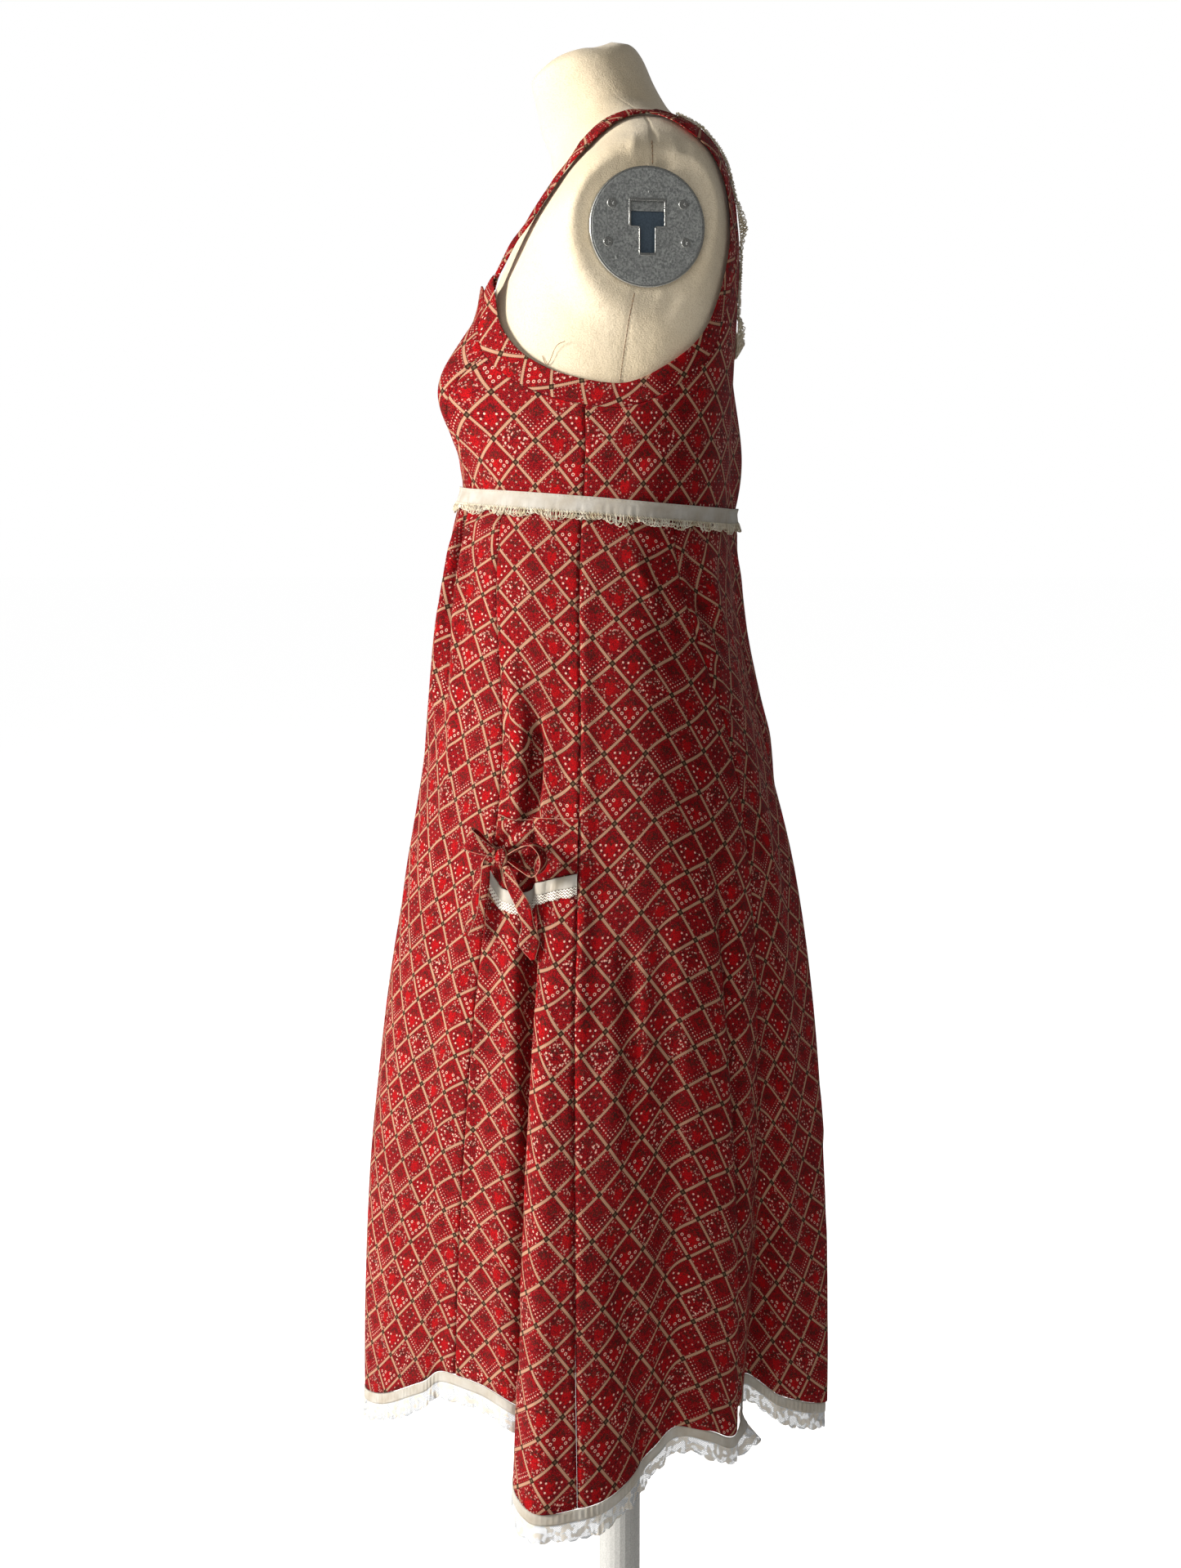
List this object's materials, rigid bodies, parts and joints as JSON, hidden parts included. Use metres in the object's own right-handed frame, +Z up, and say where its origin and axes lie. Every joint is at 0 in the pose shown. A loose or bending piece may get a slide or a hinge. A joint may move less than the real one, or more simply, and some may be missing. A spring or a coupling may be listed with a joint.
{
  "type": "prairie dress on a dress form",
  "caption": "Sleeveless patchwork-print prairie dress with raised waist, gored skirt, tied pockets and lace hem, worn on a limbless dress form with a round stand.",
  "frame": {"origin": "on the floor, at the middle of the underside of the stand's base, on the stand's axis", "axes": "+Z up; the front of the dress faces -Y; the wearer's left is +X"},
  "size_m": [0.4183, 0.4083, 1.4975],
  "materials": {
    "calico": "matt printed cotton",
    "tape": "washed cotton tape",
    "lace": "cotton lace",
    "jersey": "stretched cream jersey",
    "plate_steel": "galvanised, dull",
    "stand_steel": "pale grey, satin"
  },
  "bodies": {
    "root": {"armhole_band_left": "calico", "armhole_band_right": "calico", "back_neck_lace": "lace", "bodice_back_left": "calico", "bodice_back_right": "calico", "bodice_front_centre": "calico", "bodice_front_side_left": "calico", "bodice_front_side_right": "calico", "bow_knot_left": "calico", "bow_knot_right": "calico", "bow_loop_back_left": "calico", "bow_loop_back_right": "calico", "bow_loop_front_left": "calico", "bow_loop_front_right": "calico", "bow_tail_back_left": "calico", "bow_tail_back_right": "calico", "bow_tail_front_left": "calico", "bow_tail_front_right": "calico", "form_arm_plate_left": "plate_steel", "form_arm_plate_right": "plate_steel", "form_base": "stand_steel", "form_flange": "stand_steel", "form_plate_screw_left_1": "plate_steel", "form_plate_screw_left_2": "plate_steel", "form_plate_screw_left_3": "plate_steel", "form_plate_screw_left_4": "plate_steel", "form_plate_screw_right_1": "plate_steel", "form_plate_screw_right_2": "plate_steel", "form_plate_screw_right_3": "plate_steel", "form_plate_screw_right_4": "plate_steel", "form_pole": "stand_steel", "form_torso": "jersey", "hem_lace": "lace", "hem_tape": "tape", "pocket_lace_left": "lace", "pocket_lace_right": "lace", "pocket_left": "calico", "pocket_right": "calico", "pocket_tape_left": "tape", "pocket_tape_right": "tape", "skirt_back_left": "calico", "skirt_back_right": "calico", "skirt_front": "calico", "skirt_side_back_left": "calico", "skirt_side_back_right": "calico", "skirt_side_front_left": "calico", "skirt_side_front_right": "calico", "strap_left": "calico", "strap_right": "calico", "waist_loops": "lace", "waist_tape": "tape"}
  },
  "joints": []
}
